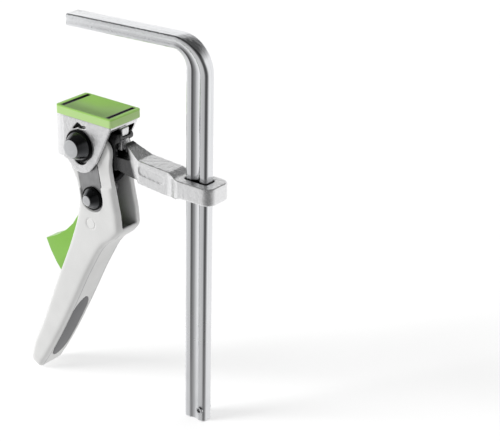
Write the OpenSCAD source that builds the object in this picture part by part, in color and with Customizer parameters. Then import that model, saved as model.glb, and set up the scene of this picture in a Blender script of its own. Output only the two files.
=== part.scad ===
// One-handed lever clamp: a bent profile rail with a hook, a sliding arm, a hand lever
// with a cam that lifts the jaw, and a ratchet with a release lever.
// X runs from the jaw towards the rail, Y across the clamp, Z up. Millimetres.
// The origin lies on the underside of the hook, straight above the middle of the pad.

/* [Rail] */
// Distance from the middle of the pad to the inner face of the rail
throat_depth = 60; // [52:1:80]
// Depth of the rail section, measured along X
rail_depth = 13.5; // [12.5:0.5:15]
// Width of the rail section, measured along Y
rail_width = 6.5; // [6:0.25:7.5]
// Distance from the hook underside down to the foot of the rail
rail_length = 201; // [170:1:260]
// Height of the pressed hook
hook_height = 6.4; // [5.5:0.1:7.5]
// Width of the pressed hook
hook_width = 9.9; // [8.5:0.1:11.5]
// Distance from the middle of the pad to the tip of the hook
hook_reach = 16.5; // [10:0.5:24]
// Angle by which the unloaded hook leans towards the pad
toe_in = 2.2; // [0.5:0.1:3]

/* [Jaw] */
// Gap between hook and pad in the drawn position
rest_opening = 41.4; // [36:0.2:60]
// Length of the pad along X
pad_length = 38; // [35:0.2:41]
// Width of the pad along Y
pad_width = 23.25; // [22.5:0.25:25.5]
// Thickness of the pad
pad_thickness = 4.5; // [3.5:0.25:6]

/* [Arm] */
// Height of the collar round the rail
collar_height = 9.2; // [8:0.2:12]
// Wall of the collar beside the rail
collar_wall = 5.2; // [4:0.2:6]
// Thickness of the arm along Y
arm_thickness = 10.4; // [10:0.1:10.8]

/* [Lever] */
// Base circle radius of the cam, which sets the lift for each degree
cam_base_radius = 7.5; // [6.5:0.25:8]
// Angle by which the hand lever closes
close_angle = 30; // [20:1:32]
// Width of the hand lever across the grip
grip_width = 19.5; // [18.5:0.25:21]
// Radius of the lever pivot pin
pivot_radius = 4.5; // [4:0.1:4.8]

/* [Hidden] */
$fn = 64;

// Clearances
run_gap = 0.3;
pin_fit = 0.05;

// Rail
rail_middle = throat_depth + rail_depth / 2;
rail_corner = 1.7;
hook_corner = 1.1;
groove_share = 0.53;
floor_share = 0.42;
rail_groove = 0.8;
hook_groove = 0.35;
tip_chamfer = 0.7;
bend_start = throat_depth - 6.2;
bend_under = bend_start * tan(toe_in);
inner_drop = 8.7;
outer_drop = 18;
bend_end = bend_under - inner_drop - 6;
bend_steps = 10;
stop_radius = 2.1;
stop_x = throat_depth + rail_depth - 2.9;
stop_z = 6.6 - rail_length;
stop_stand = 0.8;

// Layers counted outwards from the middle plane
arm_half = arm_thickness / 2;
beam_half = arm_half + 0.8;
web_half = arm_half - 0.8;
slot_half = 3;
cheek_near = arm_half + run_gap;
pad_overhang = 0.925;
jaw_half = pad_width / 2 - pad_overhang;
jaw_wall = 1.8;
plate_far = jaw_half - jaw_wall - run_gap;
plate_near = plate_far - 1.1;
ring_near = jaw_half + run_gap;
ring_far = ring_near + 1.2;
inner_plate_half = 2.2;
trigger_half = 4.7;
grip_half = grip_width / 2;
edge_radius = 2.8;
head_step = 0.2;

// Heights, counted from the top of the pad
deck_top = -pad_thickness;
deck_under = deck_top - 3;
wear_under = deck_under - 1.2;
pivot = [-3.4, wear_under - 10.5];
follower_height = wear_under - pivot[1];
pawl_pivot = pivot + [6.2, -28.6];
trigger_pivot = pivot + [5, -43.3];
pawl_pin_radius = 3;
trigger_pin_radius = 2;
lift = cam_base_radius * close_angle * PI / 180;

// Jaw
jaw_right = pad_length / 2 - 1.3;
nose_x = 3.8 - pad_length / 2;
nose_step = 0.5;
slot_run = lift + 2;

// Pin heads
pivot_head = [7.8, 4.9, 5.6];
pawl_head = [5.8, 2.6, 4];
pivot_ring_radius = 8.6;
pawl_ring_radius = 6.4;
pawl_ring_far = plate_far + 1.1;

// Ratchet
tooth_count = 14;
tooth_tip = 24.5;
tooth_root = 23.3;
teeth_from = -63;
teeth_to = -24;
rivet_spots = [pivot + 13 * [cos(-34), sin(-34)], pivot + 17.5 * [cos(-19), sin(-19)]];
rivet_radius = 1.5;

// Springs
return_wire = 1;
return_radius = 6.75;
return_turns = 2.5;
return_pitch = 1.55;
pawl_wire = 0.5;
pawl_spring_radius = 1.5;
pawl_spring_turns = 2.5;
pawl_spring_pitch = 1.05;
echo(return_spring_gap = return_pitch - return_wire, pawl_spring_gap = pawl_spring_pitch - pawl_wire);
echo(jaw_lift = lift, pivot = pivot);

plated = [0.80, 0.81, 0.82];
cast_metal = [0.74, 0.75, 0.76];
shell_white = [0.89, 0.89, 0.88];
lime = [0.46, 0.72, 0.26];
dark_grey = [0.42, 0.42, 0.43];
plate_grey = [0.62, 0.62, 0.62];
black_steel = [0.10, 0.10, 0.11];
spring_steel = [0.55, 0.56, 0.58];

// Shared shapes

// Carries everything that slides on the rail down to the drawn position
module on_arm() {
    translate([0, 0, -rest_opening]) children();
}

// Turns an outline drawn in X and Z into a slab of the given width about the middle plane
module slab(width) {
    rotate([90, 0, 0]) linear_extrude(width, center = true) children();
}

// The same outline as two mirrored plates between two distances from the middle plane
module pair(near, far) {
    for (side = [-1, 1])
        translate([0, side * (near + far) / 2, 0])
            rotate([90, 0, 0]) linear_extrude(far - near, center = true) children();
}

// Cylinder along Y through a point given in X and Z
module cross_bar(spot, radius, from, to) {
    translate([spot[0], to, spot[1]]) rotate([90, 0, 0]) cylinder(r = radius, h = to - from);
}

// Pin head that narrows outwards, on the near side (-1) or the far side (1)
module tapered_head(spot, head, start, side) {
    translate([spot[0], side * start, spot[1]])
        rotate([side < 0 ? 90 : -90, 0, 0]) cylinder(r1 = head[0], r2 = head[1], h = head[2]);
}

// Rectangle with round corners from exact squares and circles
module soft_rectangle(length, width, radius) {
    square([length - 2 * radius, width], center = true);
    square([length, width - 2 * radius], center = true);
    for (x = [-1, 1], y = [-1, 1])
        translate([x * (length / 2 - radius), y * (width / 2 - radius)]) circle(radius);
}

// Points along an arc
function arc(middle, radius, from, to) = let (steps = ceil(abs(to - from) / 9))
    [for (s = [0:steps]) let (turn = from + (to - from) * s / steps) middle + radius * [cos(turn), sin(turn)]];

// Wire along a row of points, as one unbroken tube; no stretch of it may run along Y
function unit(v) = v / norm(v);
function wire_rings(path, wire) = let (last = len(path) - 1, sides = 10) [for (i = [0:last])
    let (along = unit(path[min(i + 1, last)] - path[max(i - 1, 0)]),
         across = unit(cross(along, [0, 1, 0])),
         over = cross(across, along))
    [for (k = [0:sides - 1]) path[i] + wire / 2 * (cos(360 * k / sides) * across + sin(360 * k / sides) * over)]];

// Points of a coil about Y, wound from one angle to another
function coil_points(radius, pitch, first, last) = let (
    steps = ceil(abs(last - first) / 16),
    rise = pitch * abs(last - first) / 360
) [for (s = [0:steps]) let (turn = first + (last - first) * s / steps)
    [radius * cos(turn), rise * (s / steps - 0.5), radius * sin(turn)]];

// Closed body through a row of equal rings of points
module ring_body(rings) {
    count = len(rings[0]);
    last = len(rings) - 1;
    sides = [for (s = [0:last - 1], k = [0:count - 1])
        let (a = s * count + k, b = s * count + (k + 1) % count)
        each [[a, b, b + count], [a, b + count, a + count]]];
    first_cap = [for (k = [count - 1:-1:0]) k];
    last_cap = [for (k = [0:count - 1]) last * count + k];
    polyhedron(points = [for (ring = rings) each ring], faces = concat(sides, [first_cap, last_cap]),
               convexity = 6);
}

// Rail and hook

function section_points(depth, width, corner, groove) = let (
    opening = depth * groove_share / 2,
    bed = depth * floor_share / 2,
    long = depth / 2 - corner,
    short = width / 2 - corner,
    arc = [0, 22.5, 45, 67.5, 90]
) concat(
    [for (t = arc) [long + corner * cos(t), short + corner * sin(t)]],
    [[opening, width / 2], [bed, width / 2 - groove], [-bed, width / 2 - groove], [-opening, width / 2]],
    [for (t = arc) [-long - corner * sin(t), short + corner * cos(t)]],
    [for (t = arc) [-long - corner * cos(t), -short - corner * sin(t)]],
    [[-opening, -width / 2], [-bed, groove - width / 2], [bed, groove - width / 2], [opening, -width / 2]],
    [for (t = arc) [long + corner * sin(t), -short - corner * cos(t)]]
);

// One ring of the rail between a point on its inner side and a point on its outer side
function rail_ring(inner, outer, width, corner, groove) = let (
    middle = (inner + outer) / 2,
    across = (outer - inner) / norm(outer - inner)
) [for (p = section_points(norm(outer - inner), width, corner, groove))
    [middle[0] + across[0] * p[0], p[1], middle[1] + across[1] * p[0]]];

function under(x) = x * tan(toe_in);
function blend(t) = t * t * (3 - 2 * t);

function bend_ring(step) = let (
    turn = 90 * step / bend_steps,
    share = blend(step / bend_steps),
    inner = [bend_start + (throat_depth - bend_start) * sin(turn),
             bend_under - inner_drop + inner_drop * cos(turn)],
    outer = [bend_start + (throat_depth + rail_depth - bend_start) * sin(turn),
             bend_under + hook_height - outer_drop + outer_drop * cos(turn)]
) rail_ring(inner, outer, hook_width + (rail_width - hook_width) * share,
            hook_corner + (rail_corner - hook_corner) * share,
            hook_groove + (rail_groove - hook_groove) * share);

module hook_and_bend() {
    tip = -hook_reach;
    back = tip + tip_chamfer;
    chamfered = rail_ring([tip, under(tip) + tip_chamfer], [tip, under(tip) + hook_height - tip_chamfer],
                          hook_width - 2 * tip_chamfer, hook_corner, hook_groove);
    full = rail_ring([back, under(back)], [back, under(back) + hook_height], hook_width, hook_corner, hook_groove);
    end = rail_ring([throat_depth, bend_end], [throat_depth + rail_depth, bend_end], rail_width, rail_corner,
                    rail_groove);
    ring_body(concat([chamfered, full], [for (step = [0:bend_steps]) bend_ring(step)], [end]));
}

module rail_bar() {
    color(plated) difference() {
        union() {
            hook_and_bend();
            translate([rail_middle, 0, -rail_length]) linear_extrude(rail_length + bend_end)
                polygon(section_points(rail_depth, rail_width, rail_corner, rail_groove));
        }
        cross_bar([stop_x, stop_z], stop_radius, -rail_width, rail_width);
    }
}

// Hollow pin at the foot that keeps the arm on the rail
module stop_pin() {
    reach = rail_width / 2 + stop_stand;
    color(spring_steel) difference() {
        cross_bar([stop_x, stop_z], stop_radius - pin_fit, -reach, reach);
        cross_bar([stop_x, stop_z], stop_radius - 0.9, -reach - 1, reach + 1);
    }
}

// Arm

collar_top = pivot[1] - 3.6;
collar_under = collar_top - collar_height;
collar_end = throat_depth + rail_depth + collar_wall + 1.3;
collar_half = rail_width / 2 + run_gap + collar_wall;
neck_x = throat_depth - 8;
fork_root = 19;
prong_radius = 7.3;

// Prongs round the lever pivot, with round ends under the pad
module fork_outline() {
    translate([0, pivot[1]]) polygon(concat(
        [[pivot[0], 9.5]], arc([fork_root - 2, 7.1], 2.4, 90, -75),
        [[fork_root - 3.4, 3.2], [fork_root - 3.2, -11], [14, -10.6], [4, -8.4]],
        arc([pivot[0], 0], prong_radius, 270, 145), [[pivot[0] - 4.2, 8.4]]));
}

// Web that ties the prongs to the beam
module web_outline() {
    translate([0, pivot[1]])
        polygon([[fork_root - 7, -3.4], [25.4, -3.2], [31.4, -12.7], [24.5, -12.2], [fork_root - 7, -9.8]]);
}

// Beam from its sloped tip to the collar; its slanted left edge is the shoulder beside the lever
module beam_side() {
    translate([0, pivot[1]]) polygon([[fork_root + 1.9, 4.9], [31.7, -0.8], [neck_x, -1.9],
        [neck_x + 4.5, collar_top - pivot[1]], [collar_end, collar_top - pivot[1]],
        [collar_end, collar_under - pivot[1]], [throat_depth + 1.5, collar_under - pivot[1]],
        [neck_x + 5, collar_under - pivot[1] - 1.6], [neck_x - 2, collar_under - pivot[1] - 2.2], [31.4, -13.3],
        [30.1, -11.4], [fork_root + 1.6, 3.4]]);
}

module beam_plan() {
    corner = 5;
    flank = [[fork_root - 2, -slot_half], [fork_root + 2, -slot_half], [32, -beam_half], [neck_x - 1, -beam_half],
             [neck_x + 2, -beam_half - 0.5], [neck_x + 4.5, 1 - collar_half], [neck_x + 7, -collar_half]];
    polygon(concat(flank, arc([collar_end - corner, corner - collar_half], corner, -90, 0),
                   arc([collar_end - corner, collar_half - corner], corner, 0, 90),
                   [for (k = [len(flank) - 1:-1:0]) [flank[k][0], -flank[k][1]]]));
}

// Bare recessed panel on each flank of the arm
module panel_outline() {
    translate([neck_x - 11.6, pivot[1] - 6.4]) rotate(-6) soft_rectangle(17.4, 5.4, 2.2);
}

module slide_arm() {
    panel_depth = 0.5;
    color(cast_metal) on_arm() difference() {
        union() {
            slab(2 * arm_half) fork_outline();
            slab(2 * web_half) web_outline();
            intersection() {
                slab(4 * collar_half) beam_side();
                translate([0, 0, pivot[1] - 40]) linear_extrude(70) beam_plan();
            }
        }
        translate([fork_root - 25, 0, pivot[1]]) cube([50, 2 * slot_half, 60], center = true);
        translate([rail_middle, 0, collar_under - 10]) linear_extrude(collar_height + 30)
            square([rail_depth + 2 * run_gap, rail_width + 2 * run_gap], center = true);
        pair(beam_half - panel_depth, beam_half + 1) panel_outline();
        cross_bar(pivot, pivot_radius + pin_fit, -20, 20);
        for (spot = rivet_spots) cross_bar(spot, rivet_radius + pin_fit, -20, 20);
    }
}

// Pivot pin of the lever, fixed in the fork
module pivot_pin() {
    color(plated) on_arm() {
        cross_bar(pivot, pivot_radius, -ring_far - 0.5, ring_far + 4);
        tapered_head(pivot, pivot_head, ring_far, -1);
    }
}

module pivot_cap() {
    color(plated) on_arm() difference() {
        tapered_head(pivot, pivot_head, ring_far, 1);
        cross_bar(pivot, pivot_radius + pin_fit, 0, ring_far + 4 + pin_fit);
    }
}

// Dark rings between the jaw and the heads of the pivot pin
module pivot_rings() {
    color(black_steel) on_arm() pair(ring_near, ring_far) translate(pivot) difference() {
        circle(pivot_ring_radius);
        circle(pivot_radius + pin_fit);
    }
}

module spacer_bush() {
    color(spring_steel) on_arm() difference() {
        cross_bar(pivot, pivot_radius + 0.9, run_gap / 2 - slot_half, slot_half - run_gap / 2);
        cross_bar(pivot, pivot_radius + pin_fit, -slot_half, slot_half);
    }
}

// Torsion spring round the bush: one leg rests on the toothed plate, the other pushes the lever open
module return_spring() {
    coil = coil_points(return_radius, return_pitch, 180, 180 - 360 * return_turns);
    start = coil[0] - [0, 0, 9.3];
    end = coil[len(coil) - 1] - [0, 0, 6.2];
    color(spring_steel) on_arm() translate([pivot[0], 0, pivot[1]])
        ring_body(wire_rings(concat([start], coil, [end]), return_wire));
}

// Toothed plate riveted into the fork, concentric with the lever pivot
module sector_outline() {
    step = (teeth_to - teeth_from) / tooth_count;
    teeth = [for (k = [0:tooth_count - 1])
        let (start = teeth_from + step * k)
        each [tooth_root * [cos(start), sin(start)], tooth_tip * [cos(start + 0.2 * step), sin(start + 0.2 * step)]]];
    translate(pivot) polygon(concat(teeth, [tooth_root * [cos(teeth_to), sin(teeth_to)],
        22.2 * [cos(-9), sin(-9)], 17 * [cos(-9), sin(-9)], 9.5 * [cos(-30), sin(-30)],
        10.5 * [cos(-58), sin(-58)], 18 * [cos(teeth_from), sin(teeth_from)]]));
}

module ratchet_sector() {
    color(plate_grey) on_arm() difference() {
        slab(2 * inner_plate_half) sector_outline();
        for (spot = rivet_spots) cross_bar(spot, rivet_radius + pin_fit, -20, 20);
    }
}

module sector_rivets() {
    color(spring_steel) on_arm() for (spot = rivet_spots) cross_bar(spot, rivet_radius, -arm_half, arm_half);
}

// Jaw

// The round nose stands back from the plates by a small step
module jaw_plan(half) {
    translate([nose_x, 0]) circle(half - nose_step);
    translate([(nose_x + jaw_right) / 2, 0]) square([jaw_right - nose_x, 2 * half], center = true);
}

module jaw_side() {
    nose_end = nose_x - jaw_half - 1;
    polygon([[nose_end, deck_top], [jaw_right, deck_top], [jaw_right, deck_top - 1.5],
             [jaw_right - 1, deck_top - 3.5], pivot + [11.5, -6.7], pivot + [6.4, -13.1], pivot + [3.2, -14.7],
             pivot + [0, -15.4], pivot + [-4.4, -14.8], pivot + [-9.2, -10], [nose_x - 0.5, pivot[1] - 9],
             [nose_end, pivot[1] - 10.6]]);
}

// Small opening in each plate above the pivot
module snap_window() {
    translate(pivot) polygon([[-5.2, 7.8], [-3.2, 10.2], [-1.4, 12.2], [0.2, 11.6], [1.4, 10.6], [4.2, 11.2], [3.6, 9.9],
        [0.8, 9.4], [-1.2, 9.8], [-3.2, 8.6]]);
}

module jaw_carrier() {
    color(cast_metal) on_arm() difference() {
        intersection() {
            slab(4 * jaw_half) jaw_side();
            translate([0, 0, pivot[1] - 30]) linear_extrude(60) jaw_plan(jaw_half);
        }
        translate([0, 0, pivot[1] - 40]) linear_extrude(deck_under - pivot[1] + 40) {
            jaw_plan(jaw_half - jaw_wall);
            translate([jaw_right, 0]) square([10, 2 * (jaw_half - jaw_wall)], center = true);
        }
        slab(4 * jaw_half) {
            for (drop = [0, slot_run]) translate(pivot - [0, drop]) circle(pivot_radius + run_gap);
            translate(pivot - [0, slot_run / 2]) square([2 * (pivot_radius + run_gap), slot_run], center = true);
        }
        pair(jaw_half - jaw_wall - 0.5, jaw_half + 1) snap_window();
    }
    color(cast_metal) on_arm() translate([fork_root - 0.5 - 2.4, 0, (deck_under + pivot[1]) / 2 + 0.1])
        cube([4.8, 2 * (slot_half - run_gap), deck_under - pivot[1] + 0.2], center = true);
}

// Hardened plate under the deck that the cams push against
module wear_plate() {
    color(spring_steel) on_arm() translate([2, 0, (deck_under + wear_under) / 2])
        cube([19, 2 * plate_far, deck_under - wear_under], center = true);
}

module pressure_pad() {
    slot_depth = 1.5;
    color(lime) on_arm() difference() {
        translate([0, 0, -pad_thickness]) linear_extrude(pad_thickness) soft_rectangle(pad_length, pad_width, 1.6);
        for (side = [-1, 1])
            translate([side * (pad_length / 2 - 3.6), 0, 0]) cube([1.2, pad_width - 3, 2 * slot_depth], center = true);
    }
}

// Hand lever

module cam_outline(grow) {
    reach = 7.2 + grow;
    tilt = atan2(pawl_pivot[1] - pivot[1], pawl_pivot[0] - pivot[0]);
    length = norm(pawl_pivot - pivot);
    cam = [for (turn = [-12:3:close_angle + 6])
        let (rise = follower_height - run_gap + grow + cam_base_radius * turn * PI / 180)
        [cam_base_radius * cos(turn) + rise * sin(turn), rise * cos(turn) - cam_base_radius * sin(turn)]];
    translate(pivot) {
        circle(8.8 + grow);
        rotate(tilt) translate([length / 2, 0]) square([length, 2 * reach], center = true);
        polygon(concat([[-4, 6 + grow]], cam, [[9 + grow, -2], [0, -4]]));
    }
    translate(pawl_pivot) circle(reach);
}

// Steel side plates with the cams, pinned to the lever by both pins
module cam_plates() {
    color(plate_grey) on_arm() difference() {
        pair(plate_near, plate_far) cam_outline(0);
        cross_bar(pivot, pivot_radius + pin_fit, -20, 20);
        cross_bar(pawl_pivot, pawl_pin_radius + pin_fit, -20, 20);
    }
}

// Smooth closed curve through a row of points
function tangent(points, k) = let (
    count = len(points),
    before = points[k] - points[(k + count - 1) % count],
    after = points[(k + 1) % count] - points[k]
) unit(before * norm(after) / norm(before) + after * norm(before) / norm(after));
function smooth(points, steps) = [for (k = [0:len(points) - 1], s = [0:steps - 1]) let (
    next = (k + 1) % len(points),
    length = norm(points[next] - points[k]),
    t = s / steps
) points[k] * (1 + 2 * t) * (1 - t) * (1 - t) + points[next] * t * t * (3 - 2 * t)
    + length * (tangent(points, k) * t * (1 - t) * (1 - t) - tangent(points, next) * t * t * (1 - t))];

// The same curve moved inwards
function inset(points, distance) = [for (k = [0:len(points) - 1])
    let (along = tangent(points, k)) points[k] + distance * [-along[1], along[0]]];

shell_points = smooth([for (p = [[18.4, 1.1], [13.9, 6.2], [7.4, 8.8], [0, 9.4], [-5.6, 7.6], [-9, 3.2],
    [-10.2, -2.8], [-10.4, -9.8], [-9.2, -13.8], [-5.9, -19.8], [-3.9, -27], [-3.9, -34.8], [-4.9, -39.8],
    [-10.4, -56.8], [-20, -79.8], [-32, -110], [-43.8, -139.2], [-44.5, -143.4], [-42.6, -146.3], [-39.6, -146.9],
    [-37, -145], [-35, -142], [-26, -127.2], [-10.1, -97.2], [3.8, -69.4], [13.1, -54.4], [21.3, -47.4],
    [23.9, -43.6], [23.8, -39], [20.9, -23.4], [18, -7.8]]) pivot + p], 4);

module shell_outline() {
    polygon(shell_points);
}

// Body of the lever with round edges, a little wider than the grip so that the flanks can be cut flat
module rounded_lever() {
    edge = [[0, 0], [0.5, 0.134], [0.866, 0.5], [1.02, 1.075]] * edge_radius;
    layers = concat([for (k = [3:-1:0]) [edge_radius - grip_half - edge[k][0], edge[k][1]]],
                    [for (k = [0:3]) [grip_half - edge_radius + edge[k][0], edge[k][1]]]);
    ring_body([for (layer = layers) [for (p = inset(shell_points, layer[1])) [p[0], layer[0], p[1]]]]);
}

// Zone in which the lever has to fit between the jaw plates, down to just below a slanted step
module narrow_zone() {
    translate(pivot) polygon([[-80, 20], [-80, -48.4], [40, -15.85], [40, 20]]);
}

// Zone of the wider grip below the step
module wide_zone() {
    translate(pivot) polygon([[-80, -46.2], [-80, -180], [40, -180], [40, -13.65]]);
}

module channel_outline() {
    translate(pivot) polygon([[-7.8, 12], [-7.8, -9.6], [-6.2, -13.2], [-3, -20.2], [-1, -27.2], [-1, -37.6],
        [-1, -39.6], [12.4, -39.6], [12.4, -46.6], [18.6, -46], [23, -42.4], [40, -41], [40, 12]]);
}

module trigger_room() {
    translate(pivot) polygon([[-2, -37.6], [12.4, -37.6], [12.4, -47.4], [8.4, -49.8], [-0.6, -58.3],
        [-9.6, -73.8], [-15.1, -87.3], [-18.6, -88.6], [-70, -88.6], [-70, -38.6], [-6, -38.6]]);
}

// Puts a shape on the inner face of the grip: X runs down the grip and Z out of the face
module on_inner_face() {
    translate([pivot[0] - 10.1, 0, pivot[1] - 97.2]) rotate([0, 120, 0]) children();
}

// Outline of the grip seen square to its inner face, with a round end
module grip_plan() {
    end = 59.2;
    corner = 8;
    half = grip_half + 0.25;
    on_inner_face() translate([0, 0, -60]) linear_extrude(100)
        polygon(concat([[-120, half], [-120, -half]], arc([end - corner, corner - half], corner, -90, 0),
                       arc([end - corner, half - corner], corner, 0, 90)));
}

// Soft strip along the inner face, rounded off at both ends
module grip_strip() {
    leaf = [[-2.6, 0], [-1.8, 1.6], [0, 3.3], [2.6, 4.6], [6.5, 5.6], [12, 5.75], [36, 5.75], [41, 5.3], [45, 4],
            [47.6, 2], [48.4, 0]] * grip_half / 9.75;
    intersection() {
        slab(grip_width) intersection() {
            shell_outline();
            translate(pivot) polygon([[-11.4, -92], [-15.6, -103], [-29.4, -128.6], [-38.5, -145], [0, -145], [0, -90]]);
        }
        on_inner_face() translate([0, 0, -8]) linear_extrude(16)
            polygon(concat(leaf, [for (k = [len(leaf) - 2:-1:1]) [leaf[k][0], -leaf[k][1]]]));
    }
}

module handle_shell() {
    color(shell_white) on_arm() difference() {
        union() {
            slab(2 * plate_far) intersection() {
                polygon(inset(shell_points, head_step));
                narrow_zone();
            }
            intersection() {
                rounded_lever();
                slab(grip_width) wide_zone();
                grip_plan();
            }
        }
        slab(2 * cheek_near) channel_outline();
        slab(2 * (trigger_half + run_gap)) trigger_room();
        pair(plate_near, grip_half + 2) cam_outline(0.25);
        grip_strip();
        cross_bar(pivot, pivot_radius + pin_fit, -20, 20);
        cross_bar(pawl_pivot, pawl_pin_radius + pin_fit, -20, 20);
        cross_bar(trigger_pivot, trigger_pin_radius + pin_fit, -20, 20);
        for (side = [-1, 1])
            translate([0, side * (grip_half + 4), 0]) cross_bar(trigger_pivot, 3 + pin_fit, -5, 5);
    }
}

module grip_insert() {
    color(dark_grey) on_arm() grip_strip();
}

module pawl_pin() {
    color(plated) on_arm() {
        cross_bar(pawl_pivot, pawl_pin_radius, -pawl_ring_far - 0.5, pawl_ring_far + 2.4);
        tapered_head(pawl_pivot, pawl_head, pawl_ring_far, -1);
    }
}

module pawl_cap() {
    color(plated) on_arm() difference() {
        tapered_head(pawl_pivot, pawl_head, pawl_ring_far, 1);
        cross_bar(pawl_pivot, pawl_pin_radius + pin_fit, 0, pawl_ring_far + 2.4 + pin_fit);
    }
}

module pawl_rings() {
    color(black_steel) on_arm() pair(plate_far, pawl_ring_far) translate(pawl_pivot) difference() {
        circle(pawl_ring_radius);
        circle(pawl_pin_radius + pin_fit);
    }
}

module trigger_pin() {
    color(shell_white) on_arm() {
        cross_bar(trigger_pivot, trigger_pin_radius, 0.5 - grip_half, grip_half - 0.5);
        for (side = [-1, 1])
            translate([0, side * (grip_half - 0.5), 0]) cross_bar(trigger_pivot, 3, -0.5, 0.5);
    }
}

// Hook-shaped pawl inside the lever
module pawl_outline() {
    translate(pawl_pivot) polygon(concat(
        [[-2.6, -9.2], [0.2, -9.2], [0.2, -5.2]], arc([0, 0], 4.2, -55, -10),
        [[5.6, 0], [8.8, 5.2], [7.1, 7.2], [5.8, 6.3], [3.7, 5.4]], arc([0, 0], 4.2, 75, 215), [[-3.6, -4.2]]));
}

module pawl() {
    color(plate_grey) on_arm() difference() {
        slab(2 * inner_plate_half) pawl_outline();
        cross_bar(pawl_pivot, pawl_pin_radius + pin_fit, -20, 20);
    }
}

// Pressure spring between the back wall of the lever and the tail of the pawl
module pawl_spring() {
    spot = pawl_pivot + [-5.1, -7.4];
    color(spring_steel) on_arm() translate([spot[0], 0, spot[1]]) rotate([0, 0, 90])
        ring_body(wire_rings(coil_points(pawl_spring_radius, pawl_spring_pitch, 0, 360 * pawl_spring_turns),
                             pawl_wire));
}

module trigger_outline() {
    translate(trigger_pivot) polygon(concat(
        arc([0, 0], 4.2, -65, 5), [[4.4, 8.5], [2.3, 8.5], [1.8, 5]], arc([0, 0], 4.2, 80, 100),
        [[-7.6, 2.3], [-13.2, 0.2], [-17.8, -6.9], [-22.5, -11.7], [-29.2, -16.7], [-37.8, -21.1], [-35.2, -26.6],
         [-30.9, -33.4], [-27, -38.1], [-21.6, -31.5], [-9.6, -15.5]]));
}

module release_lever() {
    color(lime) on_arm() difference() {
        slab(2 * trigger_half) trigger_outline();
        cross_bar(trigger_pivot, trigger_pin_radius + pin_fit, -20, 20);
    }
}

rail_bar();
stop_pin();
slide_arm();
pivot_pin();
pivot_cap();
pivot_rings();
spacer_bush();
return_spring();
ratchet_sector();
sector_rivets();
jaw_carrier();
wear_plate();
pressure_pad();
handle_shell();
grip_insert();
cam_plates();
pawl_pin();
pawl_cap();
pawl_rings();
trigger_pin();
pawl();
pawl_spring();
release_lever();
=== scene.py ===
# Lever clamp: rounded castings, moulded shells, turned pins, wound springs and their finishes,
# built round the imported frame, with a plain studio stage.

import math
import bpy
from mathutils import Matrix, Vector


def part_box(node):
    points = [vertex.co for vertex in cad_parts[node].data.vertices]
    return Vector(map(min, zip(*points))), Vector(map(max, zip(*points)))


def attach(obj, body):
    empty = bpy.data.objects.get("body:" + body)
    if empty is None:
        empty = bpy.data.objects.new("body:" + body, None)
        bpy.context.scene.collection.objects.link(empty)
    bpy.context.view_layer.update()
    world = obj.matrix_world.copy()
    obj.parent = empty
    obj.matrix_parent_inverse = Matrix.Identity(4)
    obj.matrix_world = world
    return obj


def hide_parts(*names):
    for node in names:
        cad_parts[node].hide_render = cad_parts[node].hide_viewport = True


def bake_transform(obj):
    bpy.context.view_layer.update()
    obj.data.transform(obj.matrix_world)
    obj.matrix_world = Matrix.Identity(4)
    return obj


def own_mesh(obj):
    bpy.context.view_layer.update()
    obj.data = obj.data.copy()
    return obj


bl_info = {
    "name": "Lever clamp",
    "version": (1, 0, 0),
    "blender": (4, 5, 0),
    "location": "View3D > Sidebar > Clamp",
    "description": "Builds the finished pieces of a one-handed lever clamp on its packed frame",
    "category": "Object",
}

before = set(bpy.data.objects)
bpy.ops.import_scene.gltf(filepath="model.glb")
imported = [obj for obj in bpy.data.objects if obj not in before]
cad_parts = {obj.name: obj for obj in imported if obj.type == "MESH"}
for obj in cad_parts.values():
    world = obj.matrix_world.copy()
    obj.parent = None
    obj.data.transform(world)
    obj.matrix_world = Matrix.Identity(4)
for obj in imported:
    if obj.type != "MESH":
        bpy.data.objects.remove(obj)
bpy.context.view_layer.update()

import bmesh
import bpy
from bpy.props import FloatProperty, FloatVectorProperty, IntProperty, PointerProperty
from bpy.types import Operator, Panel, PropertyGroup
from mathutils import Matrix, Vector

MM = 0.001

# Places in the shared frame, in millimetres: X towards the rail, Z up
LEVER_PIVOT = (-3.4, -60.6)
PAWL_PIVOT = (2.8, -89.2)
TRIGGER_PIVOT = (1.6, -103.9)
SPRING_SEAT = (-2.3, -96.6)
STOP_PIN = (70.6, -194.4)
LEVER_TIP = (-43.8, -207.7)
RAIL_FOOT = (60.0, -201.05)

# Slots of the pad, in millimetres: place, half length, and depth and half width of the black painted shade
# along them
SLOT_X = 15.4
SLOT_HALF = 10.2
SLOT_DEPTH = 1.7
SLOT_SHADE_HALF = 1.3
# Depth below the top of the pad at which the painted highlight of its paler sides starts
RIM_START = 0.6


def hex_colour(code):
    """Linear colour of an sRGB hex value."""
    parts = [int(code[i:i + 2], 16) / 255 for i in (1, 3, 5)]
    return [p / 12.92 if p <= 0.04045 else ((p + 0.055) / 1.055) ** 2.4 for p in parts] + [1.0]


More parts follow.
